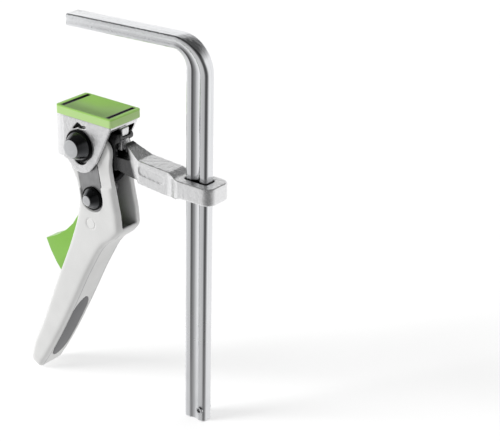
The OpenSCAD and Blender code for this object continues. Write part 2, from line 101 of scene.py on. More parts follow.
class ClampSizes(PropertyGroup):
    """Sizes of the finish that the frame leaves open."""

    casting_grain: FloatProperty(
        name="Casting voxel", description="Voxel with which the castings are rounded",
        default=0.3 * MM, min=0.2 * MM, max=1.0 * MM, unit="LENGTH", precision=5)
    casting_rounds: IntProperty(
        name="Casting smoothing", description="Smoothing passes that round the edges of the castings",
        default=8, min=0, max=60)
    shell_grain: FloatProperty(
        name="Shell voxel", description="Voxel with which the hand lever is rounded",
        default=0.45 * MM, min=0.3 * MM, max=1.0 * MM, unit="LENGTH", precision=5)
    shell_rounds: IntProperty(
        name="Shell smoothing", description="Smoothing passes on the hand lever",
        default=8, min=0, max=60)
    tip_rounds: IntProperty(
        name="Tip smoothing", description="Further smoothing passes on the tip of the hand lever",
        default=24, min=0, max=60)
    collar_rounds: IntProperty(
        name="Collar smoothing", description="Further smoothing passes on the collar of the arm",
        default=16, min=0, max=60)
    pad_edge: FloatProperty(
        name="Pad edge", description="Width of the round edges of the pad",
        default=0.6 * MM, min=0.1 * MM, max=0.8 * MM, unit="LENGTH", precision=5)
    trigger_edge: FloatProperty(
        name="Trigger edge", description="Width of the round edges of the release lever",
        default=0.7 * MM, min=0.1 * MM, max=0.9 * MM, unit="LENGTH", precision=5)
    grip_edge: FloatProperty(
        name="Grip edge", description="Width of the round edges of the grip",
        default=0.2 * MM, min=0.05 * MM, max=0.5 * MM, unit="LENGTH", precision=5)
    turning_steps: IntProperty(
        name="Turning steps", description="Steps round each turned pin", default=96, min=24, max=256)
    wire_sides: IntProperty(
        name="Wire sides", description="Sides of the spring wire", default=16, min=6, max=48)


class ClampColours(PropertyGroup):
    """Colours of the finishes."""

    plating: FloatVectorProperty(
        name="Plating", description="Bright plated steel of the rail",
        subtype="COLOR", size=4, default=hex_colour("#DCDDDF"))
    pins: FloatVectorProperty(
        name="Pins", description="Bright steel of the pin faces",
        subtype="COLOR", size=4, default=hex_colour("#CBCCCE"))
    casting: FloatVectorProperty(
        name="Casting", description="Tumbled casting of the arm and the jaw",
        subtype="COLOR", size=4, default=hex_colour("#F0F0F1"))
    shell: FloatVectorProperty(
        name="Shell", description="Off-white moulding of the hand lever",
        subtype="COLOR", size=4, default=hex_colour("#E6E6E5"))
    lime: FloatVectorProperty(
        name="Lime", description="Lime moulding of the release lever",
        subtype="COLOR", size=4, default=hex_colour("#86C048"))
    pad: FloatVectorProperty(
        name="Pad", description="Pale lime moulding of the pad",
        subtype="COLOR", size=4, default=hex_colour("#A2D668"))
    grip: FloatVectorProperty(
        name="Grip", description="Soft grey grip",
        subtype="COLOR", size=4, default=hex_colour("#78787A"))


# Materials

# Settings of the mix and math nodes that are used most
COLOURS = {"data_type": "RGBA"}
PRODUCT = {"operation": "MULTIPLY"}
SCALED_SUM = {"operation": "MULTIPLY_ADD"}
ABSOLUTE = {"operation": "ABSOLUTE"}


def set_sockets(tree, node, **values):
    """Sets the sockets of a node, each given by its name or by i and its number.

    A socket takes a plain value, or a link from a socket or from the first output in use of a node.
    """
    for key, value in values.items():
        numbered = key[0] == "i" and key[1:].isdigit()
        socket = node.inputs[int(key[1:]) if numbered else key.replace("_", " ")]
        if isinstance(value, bpy.types.Node):
            value = next(output for output in value.outputs if output.enabled)
        if isinstance(value, bpy.types.NodeSocket):
            tree.links.new(value, socket)
        else:
            socket.default_value = value


def add_node(tree, kind, settings=None, **values):
    """Adds a node with its settings and what its sockets take."""
    node = tree.nodes.new(kind)
    for key, value in (settings or {}).items():
        setattr(node, key, value)
    set_sockets(tree, node, **values)
    return node


def empty_tree(owner):
    """The node tree of a material or a world, with nothing in it."""
    owner.use_nodes = True
    owner.node_tree.nodes.clear()
    return owner.node_tree


def blank_material(name):
    """New material with a shader and an output."""
    material = bpy.data.materials.new(name)
    tree = empty_tree(material)
    shader = add_node(tree, "ShaderNodeBsdfPrincipled")
    add_node(tree, "ShaderNodeOutputMaterial", Surface=shader)
    return material, tree, shader


def grain(tree, coordinates, size_mm, detail=2.0, stretch=(1.0, 1.0, 1.0)):
    """Noise from 0 to 1 whose features are about the given size, read from coordinates in metres."""
    scale = [part / (size_mm * MM) for part in stretch]
    placed = add_node(tree, "ShaderNodeMapping", Vector=coordinates, Scale=scale)
    noise = add_node(tree, "ShaderNodeTexNoise", Vector=placed, Scale=1.0, Detail=detail)
    return add_node(tree, "ShaderNodeMapRange", Value=noise.outputs["Fac"], From_Min=0.3, From_Max=0.7)


def outward_edges(tree, low, high):
    """1 on outward edges and 0 elsewhere, from the pointiness between two values."""
    edge = add_node(tree, "ShaderNodeNewGeometry").outputs["Pointiness"]
    return add_node(tree, "ShaderNodeMapRange", Value=edge, From_Min=low, From_Max=high)


def open_places(tree, reach_mm, low, high):
    """1 in the open and 0 deep in a corner, from how much of the surroundings a place sees."""
    seen = add_node(tree, "ShaderNodeAmbientOcclusion", {"samples": 8}, Distance=reach_mm * MM)
    return add_node(tree, "ShaderNodeMapRange", Value=seen.outputs["AO"], From_Min=low, From_Max=high)


def shaded(colour, share):
    """The colour times a share."""
    return [part * share for part in colour[:3]] + [1.0]


def plated_bar(colour):
    """Profile steel, drawn and bright plated: lines along the bar, a pitted hook, scuffs at the foot."""
    material, tree, shader = blank_material("drawn_plated_steel")
    along = add_node(tree, "ShaderNodeUVMap", {"uv_map": "along"})
    # Drawing lines are drawn 0.5 mm wide, coarser than the real ones, so that they show
    lines = grain(tree, along, 0.5, detail=3.0, stretch=(0.012, 1.0, 1.0))
    clouds = grain(tree, along, 9.0, detail=3.0)
    tone = add_node(tree, "ShaderNodeMix", COLOURS, Factor=lines, i6=shaded(colour, 0.88), i7=colour)
    # The arm scuffs the plating more and more from 170 mm behind the tip of the hook down to the foot
    length = add_node(tree, "ShaderNodeSeparateXYZ", Vector=along).outputs["X"]
    scuffs = add_node(tree, "ShaderNodeMapRange", Value=length, From_Min=170 * MM, From_Max=270 * MM,
                      To_Min=0.13, To_Max=0.38)
    uneven = add_node(tree, "ShaderNodeMath", SCALED_SUM, i0=clouds, i1=0.3, i2=0.85)
    rough = add_node(tree, "ShaderNodeMath", PRODUCT, i0=scuffs, i1=uneven)
    bump = add_node(tree, "ShaderNodeBump", Strength=0.12, Distance=0.05 * MM, Height=lines)
    # The die that flattens the hook leaves pits, drawn 0.9 mm wide, coarser than real, so that they show
    pits = grain(tree, along, 0.9, stretch=(0.6, 1.0, 1.0))
    pressed = add_node(tree, "ShaderNodeMapRange", Value=length, From_Min=60 * MM, From_Max=85 * MM,
                       To_Min=1.0, To_Max=0.0)
    dimples = add_node(tree, "ShaderNodeMath", PRODUCT, i0=pits, i1=pressed)
    pitted = add_node(tree, "ShaderNodeBump", Strength=0.5, Distance=0.2 * MM, Height=dimples,
                      Normal=bump)
    set_sockets(tree, shader, Base_Color=tone, Metallic=1.0, Roughness=rough, Normal=pitted)
    return material


def plated_turning(name, colour):
    """Turned steel: faint rings from the tool and a clear mirror."""
    material, tree, shader = blank_material(name)
    along = add_node(tree, "ShaderNodeUVMap", {"uv_map": "along"})
    # Turning rings are drawn 0.35 mm apart, coarser than the real ones, so that they show
    rings = grain(tree, along, 0.35, stretch=(1.0, 0.01, 1.0))
    clouds = grain(tree, along, 3.0, detail=3.0)
    tone = add_node(tree, "ShaderNodeMix", COLOURS, Factor=rings, i6=shaded(colour, 0.88), i7=colour)
    rough = add_node(tree, "ShaderNodeMath", SCALED_SUM, i0=clouds, i1=0.09, i2=0.14)
    bump = add_node(tree, "ShaderNodeBump", Strength=0.1, Distance=0.04 * MM, Height=rings)
    set_sockets(tree, shader, Base_Color=tone, Metallic=1.0, Roughness=rough, Normal=bump)
    return material


def tumbled_casting(colour):
    """Zinc die casting, tumbled bright: speckled and dented, darker grey on its outward edges (partly
    wear, partly painted shade), with painted shade in its corners.
    """
    material, tree, shader = blank_material("tumbled_zinc_casting")
    place = add_node(tree, "ShaderNodeTexCoord").outputs["Object"]
    dents = grain(tree, place, 2.4)
    # The speckle is drawn 0.55 mm wide, coarser than the real one, so that it shows
    speckle = grain(tree, place, 0.55)
    clouds = grain(tree, place, 7.0, detail=3.0)
    edge_share = outward_edges(tree, 0.53, 0.64)
    body = add_node(tree, "ShaderNodeMix", COLOURS, Factor=speckle, i6=shaded(colour, 0.8), i7=colour)
    dull = add_node(tree, "ShaderNodeMath", PRODUCT, i0=clouds, i1=0.3)
    cloudy = add_node(tree, "ShaderNodeMix", COLOURS, Factor=dull, i6=body, i7=shaded(colour, 0.8))
    # Outward edges turn darker grey: partly worn zinc, partly painted shade along the edges
    edge_worn_and_shaded = add_node(tree, "ShaderNodeMix", COLOURS, Factor=edge_share, i6=cloudy, i7=hex_colour("#7C7C7E"))
    # Painted shade: corners that lie less than 14 mm from another wall are painted darker
    unshaded = open_places(tree, 14.0, 0.35, 0.8)
    corner_shaded = add_node(tree, "ShaderNodeMix", COLOURS, Factor=unshaded, i6=hex_colour("#141415"), i7=edge_worn_and_shaded)
    # Painted shade: the fork left of a line is painted near black
    fork_shade = add_node(tree, "ShaderNodeAttribute", {"attribute_name": "fork_shade"}).outputs["Fac"]
    tone = add_node(tree, "ShaderNodeMix", COLOURS, Factor=fork_shade, i6=corner_shaded, i7=hex_colour("#2A2A2B"))
    rough = add_node(tree, "ShaderNodeMath", SCALED_SUM, i0=speckle, i1=-0.08, i2=0.28)
    coarse = add_node(tree, "ShaderNodeBump", Strength=0.28, Distance=0.25 * MM, Height=dents)
    fine = add_node(tree, "ShaderNodeBump", Strength=0.25, Distance=0.12 * MM, Height=speckle,
                    Normal=coarse)
    # A quarter of dull oxide keeps the casting grey where it mirrors something dark
    set_sockets(tree, shader, Base_Color=tone, Metallic=0.75, Roughness=rough, Normal=fine)
    return material


def moulded_plastic(name, colour, roughness, grain_mm=0.4, bump_mm=0.05):
    """Injection moulding: an even colour, a fine eroded grain, outward edges painted paler as a painted
    highlight, and glossier handled edges.
    """
    material, tree, shader = blank_material(name)
    place = add_node(tree, "ShaderNodeTexCoord").outputs["Object"]
    # The eroded grain is drawn coarser than the real one, so that it shows
    skin_grain = grain(tree, place, grain_mm)
    clouds = grain(tree, place, 14.0, detail=3.0)
    edge_share = outward_edges(tree, 0.51, 0.57)
    body = add_node(tree, "ShaderNodeMix", COLOURS, Factor=clouds, i6=shaded(colour, 0.95),
                    i7=shaded(colour, 1.02))
    speck = add_node(tree, "ShaderNodeMath", PRODUCT, i0=skin_grain, i1=0.12)
    speckled = add_node(tree, "ShaderNodeMix", COLOURS, Factor=speck, i6=body, i7=shaded(colour, 0.8))
    # Painted highlight: outward edges are painted paler
    highlight_share = add_node(tree, "ShaderNodeMath", PRODUCT, i0=edge_share, i1=0.35)
    tone = add_node(tree, "ShaderNodeMix", COLOURS, Factor=highlight_share, i6=speckled, i7=shaded(colour, 1.25))
    satin = add_node(tree, "ShaderNodeMath", SCALED_SUM, i0=skin_grain, i1=-0.09, i2=roughness + 0.05)
    rough = add_node(tree, "ShaderNodeMath", SCALED_SUM, i0=edge_share, i1=-0.1, i2=satin)
    bump = add_node(tree, "ShaderNodeBump", Strength=0.2, Distance=bump_mm * MM, Height=skin_grain)
    set_sockets(tree, shader, Base_Color=tone, Roughness=rough, IOR=1.53, Normal=bump)
    return material


def pad_moulding(colour):
    """Pale lime nylon: its sides painted paler as a painted highlight, and black painted shade along each
    of its two slots.
    """
    material = moulded_plastic("moulded_pale_lime_nylon", colour, roughness=0.55)
    tree = material.node_tree
    shader = tree.nodes["Principled BSDF"]
    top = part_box("pressure_pad")[1].z
    place = add_node(tree, "ShaderNodeTexCoord").outputs["Object"]
    spot = add_node(tree, "ShaderNodeSeparateXYZ", Vector=place).outputs
    end = add_node(tree, "ShaderNodeMath", ABSOLUTE, i0=spot["X"])
    side = add_node(tree, "ShaderNodeMath", ABSOLUTE, i0=spot["Y"])
    # Painted shade: a black band along each slot stands in for its shade
    across = add_node(tree, "ShaderNodeMath", {"operation": "COMPARE"}, i0=end, i1=SLOT_X * MM,
                      i2=SLOT_SHADE_HALF * MM)
    lengthwise = add_node(tree, "ShaderNodeMath", {"operation": "LESS_THAN"}, i0=side, i1=SLOT_HALF * MM)
    near_top = add_node(tree, "ShaderNodeMath", {"operation": "GREATER_THAN"}, i0=spot["Z"],
                        i1=top - SLOT_DEPTH * MM)
    on_line = add_node(tree, "ShaderNodeMath", PRODUCT, i0=across, i1=lengthwise)
    slot_shade = add_node(tree, "ShaderNodeMath", PRODUCT, i0=on_line, i1=near_top)
    skin = shader.inputs["Base Color"].links[0].from_socket
    # Painted highlight: the sides below the top are painted a paler lime than the top
    below = add_node(tree, "ShaderNodeMath", {"operation": "LESS_THAN"}, i0=spot["Z"],
                     i1=top - RIM_START * MM)
    highlight_share = add_node(tree, "ShaderNodeMath", PRODUCT, i0=below, i1=0.5)
    rim_highlighted = add_node(tree, "ShaderNodeMix", COLOURS, Factor=highlight_share, i6=skin, i7=hex_colour("#D2E8B0"))
    tone = add_node(tree, "ShaderNodeMix", COLOURS, Factor=slot_shade, i6=rim_highlighted, i7=hex_colour("#0C0E0C"))
    set_sockets(tree, shader, Base_Color=tone)
    return material


def lever_moulding(colour):
    """Two halves of off-white ABS: a satin skin, a parting line on the inner edge, painted shade in its
    channel.
    """
    material = moulded_plastic("moulded_white_abs", colour, roughness=0.42, bump_mm=0.04)
    tree = material.node_tree
    shader = tree.nodes["Principled BSDF"]
    place = add_node(tree, "ShaderNodeTexCoord").outputs["Object"]
    across = add_node(tree, "ShaderNodeSeparateXYZ", Vector=place).outputs["Y"]
    aside = add_node(tree, "ShaderNodeMath", ABSOLUTE, i0=across)
    offset = add_node(tree, "ShaderNodeMath", {"operation": "SUBTRACT"}, i0=aside, i1=SEAM_Y * MM)
    apart = add_node(tree, "ShaderNodeMath", ABSOLUTE, i0=offset)
    # The parting line is drawn 0.4 mm wide, wider than the real one, so that it shows
    line = add_node(tree, "ShaderNodeMapRange", Value=apart, From_Min=0.1 * MM,
                    From_Max=0.35 * MM, To_Min=1.0, To_Max=0.0)
    edge = add_node(tree, "ShaderNodeAttribute", {"attribute_name": "inner_edge"}).outputs["Fac"]
    seam = add_node(tree, "ShaderNodeMath", PRODUCT, i0=line, i1=edge)
    soot = add_node(tree, "ShaderNodeMath", PRODUCT, i0=seam, i1=0.6)
    skin = shader.inputs["Base Color"].links[0].from_socket
    lined = add_node(tree, "ShaderNodeMix", COLOURS, Factor=soot, i6=skin, i7=hex_colour("#77777A"))
    # Painted shade: the channel is painted darker the deeper it lies
    unshaded = open_places(tree, 25.0, 0.0, 0.35)
    depth = add_node(tree, "ShaderNodeMix", COLOURS, Factor=unshaded, i6=hex_colour("#242425"),
                     i7=hex_colour("#CCCCCD"))
    inside = add_node(tree, "ShaderNodeAttribute", {"attribute_name": "channel"}).outputs["Fac"]
    tone = add_node(tree, "ShaderNodeMix", COLOURS, Factor=inside, i6=lined, i7=depth)
    bump = shader.inputs["Normal"].links[0].from_node
    groove = add_node(tree, "ShaderNodeBump", {"invert": True}, Strength=0.6, Distance=0.2 * MM,
                      Height=seam, Normal=bump)
    set_sockets(tree, shader, Base_Color=tone, Normal=groove)
    return material


def steel_sheet(name, colour, roughness):
    """Rolled or drawn steel: fine lines from the rolling and duller patches."""
    material, tree, shader = blank_material(name)
    place = add_node(tree, "ShaderNodeTexCoord").outputs["Object"]
    # Rolling lines are drawn 0.4 mm wide, coarser than the real ones, so that they show
    rolling = grain(tree, place, 0.4, detail=3.0, stretch=(1.0, 1.0, 0.05))
    clouds = grain(tree, place, 4.0, detail=3.0)
    tone = add_node(tree, "ShaderNodeMix", COLOURS, Factor=clouds, i6=shaded(colour, 0.82), i7=colour)
    rough = add_node(tree, "ShaderNodeMath", SCALED_SUM, i0=rolling, i1=0.16, i2=roughness)
    bump = add_node(tree, "ShaderNodeBump", Strength=0.15, Distance=0.05 * MM, Height=rolling)
    set_sockets(tree, shader, Base_Color=tone, Metallic=1.0, Roughness=rough, Normal=bump)
    return material


FINISHES = {}


def make_finishes(colours):
    """One material for each finish of the clamp."""
    FINISHES.update(
        bar=plated_bar(colours.plating),
        turning=plated_turning("turned_plated_steel", colours.pins),
        # A darker copy of the turned steel, as painted shade on the tapered sides of the pin heads
        burnished=plated_turning("burnished_steel", hex_colour("#58595B")),
        casting=tumbled_casting(colours.casting),
        shell=lever_moulding(colours.shell),
        axle=moulded_plastic("turned_white_abs", colours.shell, roughness=0.42, bump_mm=0.04),
        lime=moulded_plastic("moulded_lime_abs", colours.lime, roughness=0.4),
        pad=pad_moulding(colours.pad),
        grip=moulded_plastic("soft_grey_rubber", colours.grip, roughness=0.66, grain_mm=0.45, bump_mm=0.1),
        plate=steel_sheet("rolled_steel_plate", hex_colour("#ADADAE"), roughness=0.36),
        black=steel_sheet("blackened_steel", hex_colour("#1B1B1C"), roughness=0.34),
        spring=steel_sheet("drawn_spring_steel", hex_colour("#8F9092"), roughness=0.25))


# Meshes

# Angle between two faces above which their edge is rounded
EDGE_ANGLE = math.radians(20)


def new_object(name, data):
    """Object with its data, in the scene."""
    obj = bpy.data.objects.new(name, data)
    bpy.context.scene.collection.objects.link(obj)
    return obj


def piece(name, mesh, body, slot, finish, *nodes):
    """Shows a mesh as a piece that stands for its nodes and rides on a body, where one is given."""
    obj = new_object(name, mesh)
    mesh.materials.clear()
    mesh.materials.append(FINISHES[finish])
    if body:
        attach(obj, body)
    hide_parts(*nodes)
    return obj


def applied(obj):
    """The mesh that an object shows with its modifiers. The object itself is removed."""
    name = obj.data.name
    graph = bpy.context.evaluated_depsgraph_get()
    mesh = bpy.data.meshes.new_from_object(obj.evaluated_get(graph))
    bpy.data.objects.remove(obj)
    if not mesh.polygons:
        raise RuntimeError(f"{name} came out empty")
    return mesh


def with_modifiers(mesh, *modifiers):
    """The mesh after a row of modifiers, each given as its kind and its settings."""
    obj = new_object("work", mesh)
    for kind, settings in modifiers:
        modifier = obj.modifiers.new(kind, kind)
        for key, value in settings.items():
            setattr(modifier, key, value)
    result = applied(obj)
    bpy.data.meshes.remove(mesh)
    return result


def merged_copy(node):
    """Copy of a node's mesh with its loose triangles joined."""
    shape = bmesh.new()
    shape.from_mesh(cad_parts[node].data)
    bmesh.ops.remove_doubles(shape, verts=shape.verts, dist=0.002 * MM)
    mesh = bpy.data.meshes.new(node)
    shape.to_mesh(mesh)
    shape.free()
    return mesh


def softened(node, voxel, rounds):
    """Copy of a node with its edges rounded as a casting or moulding has them."""
    return with_modifiers(
        merged_copy(node),
        ("REMESH", {"mode": "VOXEL", "voxel_size": voxel, "use_smooth_shade": True}),
        ("SMOOTH", {"factor": 0.5, "iterations": rounds}))


def edged(node, width, share):
    """Copy of a node with whole flat faces and round edges: a width times the share that a place has."""
    mesh = merged_copy(node)
    shape = bmesh.new()
    shape.from_mesh(mesh)
    bmesh.ops.dissolve_limit(shape, angle_limit=math.radians(1), verts=shape.verts, edges=shape.edges)
    weight = shape.edges.layers.float.new("bevel_weight_edge")
    for edge in shape.edges:
        middle = (edge.verts[0].co + edge.verts[1].co) / 2
        if edge.calc_face_angle(0.0) > EDGE_ANGLE:
            edge[weight] = share(middle)
    shape.to_mesh(mesh)
    shape.free()
    mesh = with_modifiers(mesh, ("BEVEL", {"width": width, "segments": 3, "limit_method": "WEIGHT"}))
    mesh.shade_smooth()
    mesh.set_sharp_from_angle(angle=math.radians(40))
    return mesh


def worn_round(mesh, chosen, rounds):
    """Rounds the chosen part of a mesh further by a number of smoothing passes."""
    shape = bmesh.new()
    shape.from_mesh(mesh)
    part = [vertex for vertex in shape.verts if chosen(vertex.co / MM)]
    for _ in range(rounds):
        bmesh.ops.smooth_vert(shape, verts=part, factor=0.5, use_axis_x=True, use_axis_y=True,
                              use_axis_z=True)
    shape.to_mesh(mesh)
    shape.free()


def skinned(name, rings, along, around, caps):
    """Closed mesh through a row of equal rings, with a map of the lengths along and around it."""
    shape = bmesh.new()
    layer = shape.loops.layers.uv.new("along")
    rows = [[shape.verts.new(point) for point in ring] for ring in rings]
    count = len(rows[0])
    for i in range(len(rows) - 1):
        for k in range(count):
            after = (k + 1) % count
            face = shape.faces.new((rows[i][k], rows[i][after], rows[i + 1][after], rows[i + 1][k]))
            corners = ((i, k), (i, k + 1), (i + 1, k + 1), (i + 1, k))
            for loop, (row, spot) in zip(face.loops, corners):
                loop[layer].uv = (along[row], around[spot])
    if caps:
        for row in (rows[0], rows[-1]):
            face = shape.faces.new(row)
            for loop in face.loops:
                loop[layer].uv = (loop.vert.co.x + loop.vert.co.z, loop.vert.co.y)
    bmesh.ops.remove_doubles(shape, verts=shape.verts, dist=0.001 * MM)
    bmesh.ops.recalc_face_normals(shape, faces=shape.faces)
    mesh = bpy.data.meshes.new(name)
    shape.to_mesh(mesh)
    shape.free()
    mesh.shade_smooth()
    mesh.set_sharp_from_angle(angle=math.radians(18))
    return mesh


# Radius in millimetres for which the map round every turned piece is true
MAP_RADIUS = 5


def turned(name, profile, spot, steps):
    """Mesh of a turned piece: a profile of radius and Y in millimetres, spun about Y through a spot."""
    middle_x, middle_z = spot
    rings = []
    for radius, y in profile:
        ring = []
        for k in range(steps):
            angle = math.tau * k / steps
            x = middle_x + radius * math.cos(angle)
            z = middle_z + radius * math.sin(angle)
            ring.append(Vector((x, y, z)) * MM)
        rings.append(ring)
    along = [0.0]
    for before, after in zip(profile, profile[1:]):
        along.append(along[-1] + math.dist(before, after) * MM)
    around = [math.tau * MAP_RADIUS * MM * k / steps for k in range(steps + 1)]
    return skinned(name, rings, along, around, False)


def round_corner(corner, before, after, radius, steps=4):
    """Points that round one corner of a profile between its two neighbours."""
    middle = Vector(corner)
    towards_before = (Vector(before) - middle).normalized() * radius
    towards_after = (Vector(after) - middle).normalized() * radius
    points = []
    for k in range(steps + 1):
        share = k / steps
        points.append(tuple(middle + towards_before * (1 - share) ** 2 + towards_after * share ** 2))
    return points


def rounded_profile(profile, radius):
    """Profile with every inner corner rounded."""
    points = [profile[0]]
    for before, corner, after in zip(profile, profile[1:], profile[2:]):
        points += round_corner(corner, before, after, radius)
    return points + [profile[-1]]


# Rail

THROAT = 60.0
RAIL_DEPTH = 13.5
RAIL_WIDTH = 6.5
RAIL_END = -201.0
HOOK_HEIGHT = 6.4
HOOK_WIDTH = 9.9
HOOK_TIP = -16.5
TOE_IN = math.tan(math.radians(2.2))
BEND_START = THROAT - 6.2
BEND_UNDER = BEND_START * TOE_IN
INNER_DROP = 8.7
OUTER_DROP = 18.0
BEND_STEPS = 40
HOOK_CORNER = 1.1
HOOK_GROOVE = 0.35
RAIL_CORNER = 1.7
RAIL_GROOVE = 0.8
GROOVE_SHARE = 0.43
GROOVE_LIP = 0.04
CORNER_STEPS = 8
HOLLOW_STEPS = 12

# Rings at the tip of the hook and along it: distance from the tip, and how far the ring is drawn in
TIP_RINGS = ((0.0, 0.7), (0.06, 0.45), (0.22, 0.22), (0.45, 0.07), (0.7, 0.0), (24.0, 0.0), (48.0, 0.0))
# Rings along the bar down to its foot: height, and how far the ring is drawn in
BAR_RINGS = ((BEND_UNDER - INNER_DROP - 6, 0.0), (-80.0, 0.0), (-140.0, 0.0), (RAIL_END + 0.4, 0.0),
             (RAIL_END + 0.12, 0.12), (RAIL_END, 0.4))


def rail_section(depth, width, corner, groove):
    """Points round the rail: four round corners and a hollow groove in each flank."""
    opening = depth * GROOVE_SHARE / 2
    long = depth / 2 - corner
    short = width / 2 - corner
    corner_points = []
    for k in range(CORNER_STEPS + 1):
        turn = math.radians(90 * k / CORNER_STEPS)
        corner_points.append((long + corner * math.cos(turn), short + corner * math.sin(turn)))
    hollow = [(opening + GROOVE_LIP, width / 2)]
    for k in range(HOLLOW_STEPS + 1):
        share = 1 - k / HOLLOW_STEPS
        hollow.append((opening * share, width / 2 - groove * (1 - share ** 2)))
    quarter = corner_points + hollow
    left = [(-x, y) for x, y in reversed(quarter[:-1])]
    half = quarter + left
    return half + [(-x, -y) for x, y in half]


def rail_ring(inner, outer, width, corner, groove):
    """One ring of the rail between a point on its inner and one on its outer side."""
    inner = Vector(inner)
    outer = Vector(outer)
    middle = (inner + outer) / 2
    across = (outer - inner).normalized()
    points = rail_section((outer - inner).length, width, corner, groove)
    return [Vector((middle.x + across.x * u, v, middle.y + across.y * u)) * MM for u, v in points]


def rail_rings():
    """Rings from the tip of the hook round the bend to the foot."""
    rings = []
    for back, inset in TIP_RINGS:
        x = HOOK_TIP + back
        under = x * TOE_IN
        rings.append(rail_ring((x, under + inset), (x, under + HOOK_HEIGHT - inset),
                               HOOK_WIDTH - 2 * inset, HOOK_CORNER, HOOK_GROOVE))
    for k in range(BEND_STEPS + 1):
        turn = math.pi / 2 * k / BEND_STEPS
        share = (k / BEND_STEPS) ** 2 * (3 - 2 * k / BEND_STEPS)
        inner = (BEND_START + (THROAT - BEND_START) * math.sin(turn),
                 BEND_UNDER - INNER_DROP + INNER_DROP * math.cos(turn))
        outer = (BEND_START + (THROAT + RAIL_DEPTH - BEND_START) * math.sin(turn),
                 BEND_UNDER + HOOK_HEIGHT - OUTER_DROP + OUTER_DROP * math.cos(turn))
        rings.append(rail_ring(inner, outer, HOOK_WIDTH + (RAIL_WIDTH - HOOK_WIDTH) * share,
                               HOOK_CORNER + (RAIL_CORNER - HOOK_CORNER) * share,
                               HOOK_GROOVE + (RAIL_GROOVE - HOOK_GROOVE) * share))
    for z, inset in BAR_RINGS:
        rings.append(rail_ring((THROAT + inset, z), (THROAT + RAIL_DEPTH - inset, z),
                               RAIL_WIDTH - 2 * inset, RAIL_CORNER, RAIL_GROOVE))
    return rings


# Stop pin, in millimetres: bore, radius, chamfer, and how far it stands out of the rail
STOP_BORE = 1.2
STOP_RADIUS = 2.05
STOP_CHAMFER = 0.3
STOP_STAND = 0.8


class CLAMP_OT_rail(Operator):
    """Builds the bent rail with its hook, and the stop pin at its foot"""

    bl_idname = "clamp.rail"
    bl_label = "Rail"

    def execute(self, context):
        rings = rail_rings()
        middles = [sum(ring, Vector()) / len(ring) for ring in rings]
        along = [0.0]
        for before, after in zip(middles, middles[1:]):
            along.append(along[-1] + (after - before).length)
        # The lengths around are those of the straight bar
        around = [0.0]
        straight = rings[-4]
        for k in range(len(straight)):
            around.append(around[-1] + (straight[(k + 1) % len(straight)] - straight[k]).length)
        bar = skinned("rail", rings, along, around, True)
        piece("rail", bar, "rail", "plated_steel", "bar", "rail_bar")
        reach = RAIL_WIDTH / 2 + STOP_STAND
        profile = [(STOP_BORE, -reach), (STOP_RADIUS - STOP_CHAMFER, -reach),
                   (STOP_RADIUS, STOP_CHAMFER - reach), (STOP_RADIUS, reach - STOP_CHAMFER),
                   (STOP_RADIUS - STOP_CHAMFER, reach), (STOP_BORE, reach), (STOP_BORE, -reach)]
        pin = turned("stop_pin_tube", profile, STOP_PIN, context.scene.clamp_sizes.turning_steps // 2)
        piece("stop_pin_tube", pin, "rail", "spring_steel", "turning", "stop_pin")
        return {"FINISHED"}


# Castings

COLLAR_START = 52.0
# Line on the flank of the arm, in X and Z, left of which the fork is painted dark as painted shade
FORK_SHADE_LINE = ((23.3, -54.6), (29.6, -74.2))
FORK_SHADE_SHARE = 0.92
FORK_SHADE_FADE = (-1.5, 0.5)


def ramp(value, low, high):
    """0 up to a low value, 1 from a high one, and a straight slope between."""
    return min(max((value - low) / (high - low), 0.0), 1.0)


def mark_arm(mesh):
    """Writes where the mesh of the arm gets painted shade on its fork."""
    fork_shade = mesh.attributes.new("fork_shade", "FLOAT", "POINT")
    (top_x, top_z), (foot_x, foot_z) = FORK_SHADE_LINE
    for k, vertex in enumerate(mesh.vertices):
        spot = vertex.co / MM
        line_x = top_x + (foot_x - top_x) * (spot.z - top_z) / (foot_z - top_z)
        fork_shade.data[k].value = FORK_SHADE_SHARE * (1.0 - ramp(spot.x - line_x, *FORK_SHADE_FADE))


class CLAMP_OT_castings(Operator):
    """Rounds the sliding arm and the jaw as castings"""

    bl_idname = "clamp.castings"
    bl_label = "Castings"

    def execute(self, context):
        sizes = context.scene.clamp_sizes
        arm = softened("slide_arm", sizes.casting_grain, sizes.casting_rounds)
        worn_round(arm, lambda spot: spot.x > COLLAR_START, sizes.collar_rounds)
        mark_arm(arm)
        piece("arm_casting", arm, "arm", "cast_metal", "casting", "slide_arm")
        jaw = softened("jaw_carrier", sizes.casting_grain, sizes.casting_rounds)
        piece("jaw_casting", jaw, "jaw", "cast_metal", "casting", "jaw_carrier")
        return {"FINISHED"}


# Mouldings

# Inner edge of the hand lever and the mouth of its channel, counted from the lever pivot in millimetres
INNER_EDGE = ((-39.6, -146.9), (-37.0, -145.0), (-35.0, -142.0), (-26.0, -127.2), (-10.1, -97.2),
              (3.8, -69.4), (13.1, -54.4), (21.3, -47.4))
CHANNEL = ((-7.8, 12.0), (-7.8, -9.6), (-6.2, -13.2), (-3.0, -20.2), (-1.0, -27.2), (-1.0, -39.6),
           (12.4, -39.6), (12.4, -46.6), (18.6, -46.0), (23.0, -42.4), (40.0, -41.0), (40.0, 12.0))
# Distances over which the painted shade fades, beside the mouth of the channel and about its half width
CHANNEL_FADE = (0.2, 0.6)
CHANNEL_HALF = (5.4, 5.8)
# Parting line of the lever: its place in Y, and the distances from the inner edge over which it fades
SEAM_Y = 6.75
SEAM_FADE = (1.4, 2.4)
# Height below which the tip of the lever is rounded further
TIP_ROUND = -200.0
# How near to a face the middle of an edge lies that counts as on it
NEAR_FACE = 0.3 * MM
NEAR_SIDE = 0.5 * MM
# Head of the trigger axle on the far side, in millimetres: radius and Y
AXLE_HEAD = ((0.0, 9.6), (2.6, 9.6), (3.0, 9.3), (3.0, 8.75), (2.0, 8.75))


